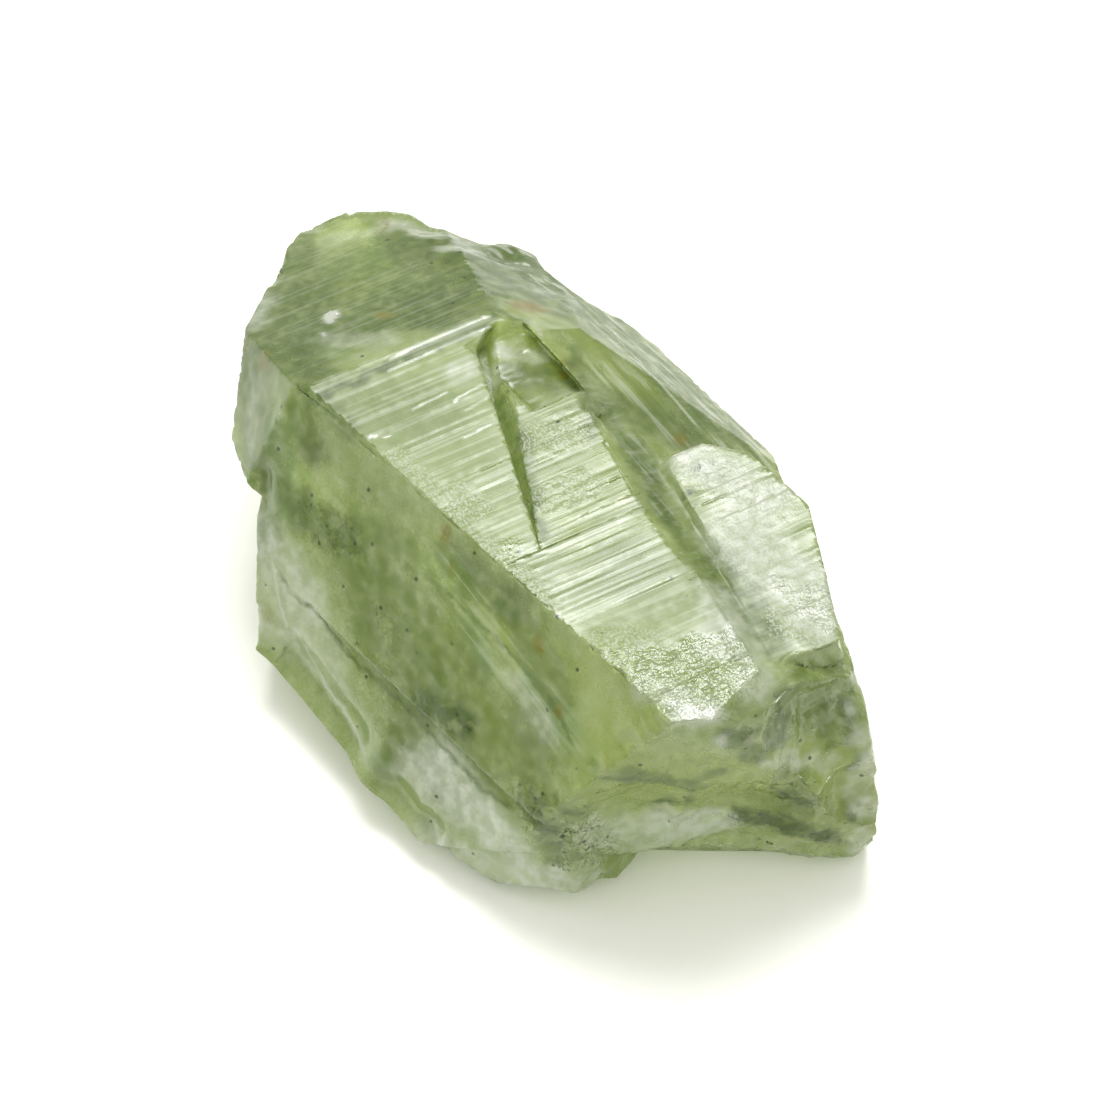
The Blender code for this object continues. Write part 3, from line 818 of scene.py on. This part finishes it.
on_top = grown * (np.abs(places[:, 2] - TOP) < TOP_SLACK)
step_shine = STEP_SHINE + STEP_SHINE_SWING * lumpy(places, SHINE_PATCH, SHINE_SEED)
for (x, y), (far_x, far_y) in BRIGHT_STEPS:
    offset = places[:, 0] - np.interp(places[:, 1], (far_y, y), (far_x, x))
    inside = (places[:, 1] > far_y) * (places[:, 1] < y)
    inside = inside * (np.abs(offset) < BRIGHT_STEP_WIDTH / 2) * on_top
    lean = mirror_lean(np.array((x, y, TOP)))
    steps = steps * (1.0 - inside) + inside * lean[0] * offset
    records["glint"] = np.maximum(records["glint"], inside * step_shine)

# The crust near the broken end: a close crowd of small facets, each tilted its own way.
CRUST_FACET = 0.34
CRUST_TILT = 0.14
CRUST_STEP = 0.02
CRUST_LEAST = 0.02

crusted = np.flatnonzero(crust * grown > CRUST_LEAST)
ground = places[crusted, :2]
low, high = ground.min(axis=0), ground.max(axis=0)
facet_count = int(np.prod((high - low) / CRUST_FACET))
draws = np.array([[chance.random() for _ in range(5)] for _ in range(facet_count)])
seats = low + draws[:, :2] * (high - low)
nearest = np.argmin(((ground[:, None, :] - seats[None, :, :]) ** 2).sum(axis=2), axis=1)
tilt = (draws[nearest, 2:4] - 0.5) * 2.0 * CRUST_TILT
step = (draws[nearest, 4] - 0.5) * 2.0 * CRUST_STEP
rise = ((ground - seats[nearest]) * tilt).sum(axis=1) + step
steps[crusted] += crust[crusted] * rise

# Ripples and hackles of the broken end, arcs around where the blow fell and rough ground;
# slow waves and pits in the other faces; the frosted ground; and chips along the edges, which
# are wider along the ragged ones. Lumps have a size and a share, and rises are in millimetres.
BLOW = np.array((-9.0, 3.0, 12.0))
RIPPLE_LENGTH = 0.9
RIPPLE_RISE = 0.03
RUGGED = (((13.2, -4.0, 14.5), (9.4, -5.4, 14.1), 1.8, 0.32),)
HACKLE_LUMPS = ((1.7, 1.0), (1.7 / 2.3, 0.5), (0.35, 0.25))
HACKLE_RISE = 0.22
WAVE_SIZE = 4.0
WAVE_RISE = 0.06
PIT_SIZE = 0.7
PIT_RISE = 0.03
FROST_LUMPS = ((0.4, 1.0), (0.2, 0.5))
FROST_RISE = 0.05
RAGGED = (
    ((2.1, -7.5, 14.4), (-2.6, -6.7, 14.3), 0.7, 1.00),
    ((-2.6, -6.7, 14.3), (-8.8, -6.5, 14.4), 0.7, 1.00),
    ((-9.9, -7.4, 14.4), (-10.1, -9.7, 13.9), 0.7, 1.00),
    ((-8.9, 0.0, 15.0), (-11.7, -1.6, 14.8), 0.7, 1.00),
    ((3.5, 3.5, 14.6), (-3.7, 1.4, 14.9), 0.7, 0.60),
    ((-3.7, 1.4, 14.9), (-8.9, 0.0, 15.0), 0.7, 1.00),
    ((24.0, 3.0, 9.0), (28.0, -2.0, 8.5), 2.5, 0.80),
    ((24.0, 3.0, 9.0), (16.0, 8.0, 10.0), 2.5, 0.80),
    ((16.0, -11.5, 8.0), (2.0, -13.6, 9.6), 2.0, 0.80),
)
CHIP_LUMPS = ((0.8, 1.0), (0.3, 0.6))
EDGE_CHIP = 0.09
RAGGED_CHIP = 0.24
CHIPPED_ABOVE = (3.0, 4.5)
OFF_FLOOR = (0.04, 0.3)

move = grown * (1.0 - smoothed) * steps
move += frosted * grown * FROST_RISE * layered(places, FROST_LUMPS)
blow_distance = np.linalg.norm(places - BLOW, axis=1)
move += broken * RIPPLE_RISE * np.sin(blow_distance * 2.0 * math.pi / RIPPLE_LENGTH)
move += np.maximum(broken, summed(places, RUGGED)) * HACKLE_RISE * layered(places, HACKLE_LUMPS)
waves = WAVE_RISE * lumpy(places, WAVE_SIZE) + PIT_RISE * lumpy(places, PIT_SIZE)
move += (1.0 - grown) * waves
chip = np.maximum(layered(places, CHIP_LUMPS), 0.0) * smooth_step(places[:, 2], *CHIPPED_ABOVE)
move -= on_edge * (1.0 - smoothed) * (EDGE_CHIP + RAGGED_CHIP * summed(places, RAGGED)) * chip
off_floor = smooth_step(places[:, 2], *OFF_FLOOR)
skin_places = places + facings * (off_floor * move)[:, None]

# Where the stone swells past the solid's flat faces or falls short of them: line, reach and
# rise. The ledge's lower corner, from one x, y and z to another, and the foot under it stand
# a little aside as well.
SWELLS = (
    ((-12.3, -10.0, 10.1), (-13.6, -9.8, 5.4), 1.6, 0.72),
    ((21.4, -5.8, 11.6), (19.5, -7.8, 11.2), 1.5, -0.30),
    ((12.7, 9.3, 9.4), (13.5, 8.8, 10.3), 1.0, -0.30),
    ((23.6, -6.0, 10.5), (22.0, -7.6, 11.0), 2.0, -0.60),
    ((26.7, 0.3, 9.2), (25.9, 1.2, 9.6), 1.4, 0.45),
    ((7.3, 10.9, 4.0), (2.0, 10.3, 3.3), 2.2, -0.80),
    ((-1.8, 9.6, 2.7), (-3.8, 9.2, 2.3), 1.8, -0.80),
)
LEDGE_CORNER = ((7.5, 9.8), (7.0, 9.6), (12.4, 14.2))
LEDGE_CORNER_SHIFT = (-0.60, 0.32, 0.0)
FOOT = ((-12.9, -5.0, 1.6), (-10.3, 1.2, 1.6))
FOOT_REACH = 2.6
FOOT_CORE = 0.4
FOOT_SHIFT = (0.55, 0.0, 0.0)

for start, end, reach, rise in SWELLS:
    share = off_floor * near(places, start, end, reach)
    outward = share @ facings
    skin_places += rise * share[:, None] * outward / np.linalg.norm(outward)
corner_share = smooth_step(-places[:, 0], *LEDGE_CORNER[0])
corner_share *= smooth_step(-places[:, 1], *LEDGE_CORNER[1])
corner_share *= smooth_step(places[:, 2], *LEDGE_CORNER[2])
skin_places += corner_share[:, None] * LEDGE_CORNER_SHIFT
skin_places += near(places, *FOOT, FOOT_REACH, FOOT_CORE)[:, None] * FOOT_SHIFT

# Small facets that catch the soft box: where, how far they reach, and how they shine. The shine
# lowers the roughness and also paints a highlight, a near-white tint, into the colour there.
GLINTS = (
    ((19.1, 2.1, 12.75), 0.50, 1.00),
    ((18.8, 2.4, 12.85), 0.40, 1.00),
    ((17.8, 3.2, 13.30), 0.26, 0.80),
    ((11.5, -4.6, 14.20), 0.20, 0.10),
    ((12.0, -5.7, 14.80), 0.16, 0.50),
    ((11.7, -5.7, 14.80), 0.16, 0.50),
    ((-11.1, -1.4, 14.97), 0.60, 0.90),
    ((-11.5, -2.1, 14.95), 0.40, 0.90),
)
GLINT_CORE = 0.6

for centre, reach, shine in GLINTS:
    share = near(places, centre, centre, reach, GLINT_CORE)
    lean = mirror_lean(np.array(centre))
    facet = centre[2] + (skin_places[:, :2] - np.array(centre)[:2]) @ lean
    skin_places[:, 2] += share * (facet - skin_places[:, 2])
    records["glint"] = np.maximum(records["glint"], shine * share)
skin_places += facings * (BEAD_RISE * BEAD_WIDTH * near(places, BEAD, BEAD, BEAD_WIDTH))[:, None]

crystal_data.vertices.foreach_set("co", (skin_places * MM + np.array(DATUM)).ravel())
for name, values in records.items():
    layer = crystal_data.attributes.new(name, "FLOAT", "POINT")
    layer.data.foreach_set("value", values)
crystal_data.update()
crystal_data.shade_smooth()
crystal_data.set_sharp_from_angle(angle=SHARP_FROM)
crystal = bpy.data.objects.new("rough_crystal", crystal_data)
bpy.context.scene.collection.objects.link(crystal)

# Green quartz: clear, pale to mid green, greener where the light runs further through it. Its
# clouds, lines and specks come from a few noises and from what the skin's records say.
QUARTZ_IOR = 1.544
CLEARNESS = 0.60
GREEN_FILTER = (0.55, 0.66, 0.22, 1.0)
FILTER_DENSITY = 75.0
BODY_PALE = (0.605, 0.685, 0.352, 1.0)
BODY_GREEN = (0.325, 0.433, 0.112, 1.0)
# The deepest green: the body's own, and also painted shade in the split down the top and along the
# growth lines.
BODY_DEEP_AND_SHADE = (0.092, 0.16, 0.016, 1.0)
# The near-white: veils and frost, and also painted highlights at the glints and along the growth
# lines.
VEIL_AND_HIGHLIGHT_PALE = (0.95, 0.97, 0.90, 1.0)
COOL_GREEN = (0.38, 0.56, 0.30, 1.0)
WARM_GREEN = (0.48, 0.57, 0.09, 1.0)
SPECK_DARK = (0.02, 0.035, 0.012, 1.0)
RUST_BROWN = (0.28, 0.22, 0.0, 1.0)

quartz = bpy.data.materials.new("green_quartz")
quartz.use_nodes = True
tree = quartz.node_tree
shader = tree.nodes["Principled BSDF"]
shader.inputs["IOR"].default_value = QUARTZ_IOR
shader.inputs["Transmission Weight"].default_value = CLEARNESS
volume = tree.nodes.new("ShaderNodeVolumeAbsorption")
volume.inputs["Color"].default_value = GREEN_FILTER
volume.inputs["Density"].default_value = FILTER_DENSITY
tree.links.new(volume.outputs["Volume"], tree.nodes["Material Output"].inputs["Volume"])


def feed(socket, value):
    """Give a socket another one's output, or a plain number, colour or direction."""
    if isinstance(value, bpy.types.NodeSocket):
        tree.links.new(value, socket)
    else:
        socket.default_value = value


def place_in_mm():
    """Object coordinates turned into millimetres from the datum."""
    coordinates = tree.nodes.new("ShaderNodeTexCoord")
    mapping = tree.nodes.new("ShaderNodeMapping")
    mapping.inputs["Location"].default_value = -DATUM / MM
    mapping.inputs["Scale"].default_value = (1 / MM, 1 / MM, 1 / MM)
    feed(mapping.inputs["Vector"], coordinates.outputs["Object"])
    return mapping.outputs["Vector"]


def drawn_out(vector, direction, keep):
    """The place squeezed along a direction, so that a pattern runs on along it."""
    direction = Vector(direction).normalized()
    reach = tree.nodes.new("ShaderNodeVectorMath")
    reach.operation = "DOT_PRODUCT"
    feed(reach.inputs[0], vector)
    feed(reach.inputs[1], direction)
    part = tree.nodes.new("ShaderNodeVectorMath")
    part.operation = "SCALE"
    feed(part.inputs[0], direction * (keep - 1.0))
    feed(part.inputs["Scale"], reach.outputs["Value"])
    moved = tree.nodes.new("ShaderNodeVectorMath")
    moved.operation = "ADD"
    feed(moved.inputs[0], vector)
    feed(moved.inputs[1], part.outputs["Vector"])
    return moved.outputs["Vector"]


def cloud(vector, scale, detail=1.0):
    """Noise from 0 to 1."""
    node = tree.nodes.new("ShaderNodeTexNoise")
    node.inputs["Scale"].default_value = scale
    node.inputs["Detail"].default_value = detail
    feed(node.inputs["Vector"], vector)
    return node.outputs["Fac"]


def spread(value, low, high, to_low=0.0, to_high=1.0):
    """A value mapped from one range to another, and held within it."""
    node = tree.nodes.new("ShaderNodeMapRange")
    node.inputs["From Min"].default_value = low
    node.inputs["From Max"].default_value = high
    node.inputs["To Min"].default_value = to_low
    node.inputs["To Max"].default_value = to_high
    feed(node.inputs["Value"], value)
    return node.outputs["Result"]


def combine(operation, first, second=0.0):
    """Two values, or a value and a number, put together."""
    node = tree.nodes.new("ShaderNodeMath")
    node.operation = operation
    feed(node.inputs[0], first)
    feed(node.inputs[1], second)
    return node.outputs["Value"]


def product(first, *others):
    """Values and numbers multiplied together."""
    for value in others:
        first = combine("MULTIPLY", first, value)
    return first


def weighted(first, *parts):
    """A value or a number, with others added to it, each by its weight."""
    for value, weight in parts:
        first = combine("ADD", first, combine("MULTIPLY", value, weight))
    return first


def record(name):
    """What the skin keeps at each spot under that name."""
    node = tree.nodes.new("ShaderNodeAttribute")
    node.attribute_name = name
    return node.outputs["Fac"]


def tint(share, under, over):
    """A colour laid over another by a share."""
    node = tree.nodes.new("ShaderNodeMix")
    node.data_type = "RGBA"
    feed(node.inputs["Factor"], share)
    feed(node.inputs["A"], under)
    feed(node.inputs["B"], over)
    return node.outputs["Result"]


def line_share(name, width):
    """How strongly a crack or a veil shows, by the offset from its line, which wavers."""
    offset = combine("ABSOLUTE", combine("ADD", record(name), waver))
    return product(spread(offset, width, 0.0), record(name + "_show"))


# The noises: how fine they are, and for the drawn-out ones which way they run and how much
# is kept along it. Then the body's own mottle, the dark specks and the wriggles among them.
CLOUD_SCALE = 1.6
CLOUD_DETAIL = 2.0
RIBBON_RUN = (-0.98, -0.12, -0.15)
RIBBON_KEEP = 0.06
RIBBON_SCALE = 2.6
LINE_RUN = (0.0, 1.0, 0.0)
LINE_KEEP = 0.022
LINE_SCALE = 4.5
GRAIN_SCALE = 7.0
SPECK_SCALE = 1.7
MOTTLE_RANGE = (0.40, 0.60)
GROWN_CALMS = 0.4
GROWN_SHADES = 0.56
LINE_WAVER = 0.5
SPECKS_ANYWHERE = 0.05
SPECKS_IN_CLOUDS = 0.8
SPECK_RIM = (0.24, 0.12)
WRIGGLE_RIM = (0.022, 0.006)

spot = place_in_mm()
fibres = record("fibres")
is_grown = record("grown")
fine_cloud = cloud(spot, CLOUD_SCALE, CLOUD_DETAIL)
ribbons = cloud(drawn_out(spot, RIBBON_RUN, RIBBON_KEEP), RIBBON_SCALE)
growth_lines = cloud(drawn_out(spot, LINE_RUN, LINE_KEEP), LINE_SCALE)
grain = cloud(spot, GRAIN_SCALE)
specks = tree.nodes.new("ShaderNodeTexVoronoi")
specks.inputs["Scale"].default_value = SPECK_SCALE
feed(specks.inputs["Vector"], spot)
apart = tree.nodes.new("ShaderNodeSeparateColor")
feed(apart.inputs["Color"], specks.outputs["Color"])

mottle = weighted(
    0.0,
    (record("slow_cloud"), 0.35),
    (fine_cloud, 0.20),
    (fibres, 0.20),
    (record("slow_bands"), 0.25),
    (combine("SUBTRACT", grain, NOISE_MIDDLE), 0.15),
)
mottle = product(spread(mottle, *MOTTLE_RANGE), spread(is_grown, 0.0, 1.0, 1.0, GROWN_CALMS))
speck_chance = weighted(SPECKS_ANYWHERE, (record("speckled"), SPECKS_IN_CLOUDS))
chosen = combine("LESS_THAN", apart.outputs["Red"], speck_chance)
dots = product(spread(specks.outputs["Distance"], *SPECK_RIM), chosen)
off_middle = combine("SUBTRACT", fine_cloud, NOISE_MIDDLE)
wriggles = spread(combine("ABSOLUTE", off_middle), *WRIGGLE_RIM)
waver = product(off_middle, LINE_WAVER)

# The colours laid over the body's in turn: the colour, and the shares that it goes by.
colour = tint(weighted(mottle, (is_grown, GROWN_SHADES)), BODY_PALE, BODY_GREEN)
for over, *shares in (
    (COOL_GREEN, record("cool"), 0.6),
    (WARM_GREEN, record("warm"), 0.6),
    # The deep_green record holds the stone's deeper green, and painted shade in the split down the
    # top.
    (BODY_DEEP_AND_SHADE, record("deep_green"), spread(fine_cloud, 0.30, 0.60, 0.62, 1.0)),
    (BODY_DEEP_AND_SHADE, record("banded"), spread(ribbons, 0.50, 0.62), 0.7),
    (VEIL_AND_HIGHLIGHT_PALE, record("banded"), spread(ribbons, 0.44, 0.34), 0.6),
    (VEIL_AND_HIGHLIGHT_PALE, record("pale"), spread(fine_cloud, 0.30, 0.60, 1.0, 0.55)),
    # Painted highlight and painted shade: these three layers draw pale and dark lines along the
    # growth striations of the top; their relief is in the bump further on.
    (BODY_DEEP_AND_SHADE, record("lined"), spread(growth_lines, 0.46, 0.62), 0.30),
    (VEIL_AND_HIGHLIGHT_PALE, record("lined"), spread(growth_lines, 0.50, 0.40), 0.40),
    (VEIL_AND_HIGHLIGHT_PALE, record("dull"), spread(growth_lines, 0.48, 0.34), 0.14),
    (BODY_DEEP_AND_SHADE, line_share("dark_crack", 0.20), spread(fibres, 0.35, 0.55, 0.25, 0.8)),
    (BODY_DEEP_AND_SHADE, line_share("faint_crack", 0.16), spread(fibres, 0.35, 0.55, 0.15, 0.6)),
    (VEIL_AND_HIGHLIGHT_PALE, line_share("pale_veil", 0.18), 0.7),
    (SPECK_DARK, dots, 0.85),
    (SPECK_DARK, record("speckled"), spread(grain, 0.46, 0.60), 0.28),
    (SPECK_DARK, record("speckled"), wriggles, 0.8),
    (RUST_BROWN, record("rust"), spread(grain, 0.35, 0.50, 0.65, 1.0)),
    (VEIL_AND_HIGHLIGHT_PALE, record("frosted"), is_grown, spread(grain, 0.50, 0.58), 0.6),
    (BODY_DEEP_AND_SHADE, record("crust"), spread(grain, 0.50, 0.60), 0.6),
    # Painted highlight: the glint spots and bright steps are tinted near white, over the soft box
    # that their facets mirror.
    (VEIL_AND_HIGHLIGHT_PALE, record("glint"), 0.95),
):
    colour = tint(product(*shares), colour, over)
feed(shader.inputs["Base Color"], colour)

# How rough it is, and the fine relief that is only in its look: lines and grain.
CLOUD_RANGE = (0.3, 0.7)
ROUGHNESS_RANGE = (0.10, 0.24)
CRUST_POLISH = 0.45
LINE_RELIEF = 0.16
LINES_ANYWHERE = 0.3
FROST_RELIEF = 0.8
GRAIN_ANYWHERE = 0.03
RELIEF_STRENGTH = 0.5
RELIEF_DEPTH = 0.08

roughness = weighted(
    spread(fine_cloud, *CLOUD_RANGE, *ROUGHNESS_RANGE),
    (record("frosted"), 0.15),
    (record("dull"), 0.25),
    (record("broken"), 0.05),
    (is_grown, 0.05),
)
feed(shader.inputs["Roughness"], product(
    roughness,
    combine("SUBTRACT", 1.0, record("glint")),
    spread(record("crust"), 0.0, 1.0, 1.0, CRUST_POLISH),
))
line_relief = product(growth_lines, LINE_RELIEF, combine("ADD", record("lined"), LINES_ANYWHERE))
rough_ground = combine("MAXIMUM", product(record("frosted"), FROST_RELIEF), record("crust"))
grain_relief = product(grain, combine("ADD", rough_ground, GRAIN_ANYWHERE))
bump = tree.nodes.new("ShaderNodeBump")
bump.inputs["Strength"].default_value = RELIEF_STRENGTH
bump.inputs["Distance"].default_value = RELIEF_DEPTH * MM
feed(bump.inputs["Height"], combine("ADD", line_relief, grain_relief))
feed(shader.inputs["Normal"], bump.outputs["Normal"])
crystal.data.materials.append(quartz)

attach(crystal, "root")
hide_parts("crystal")
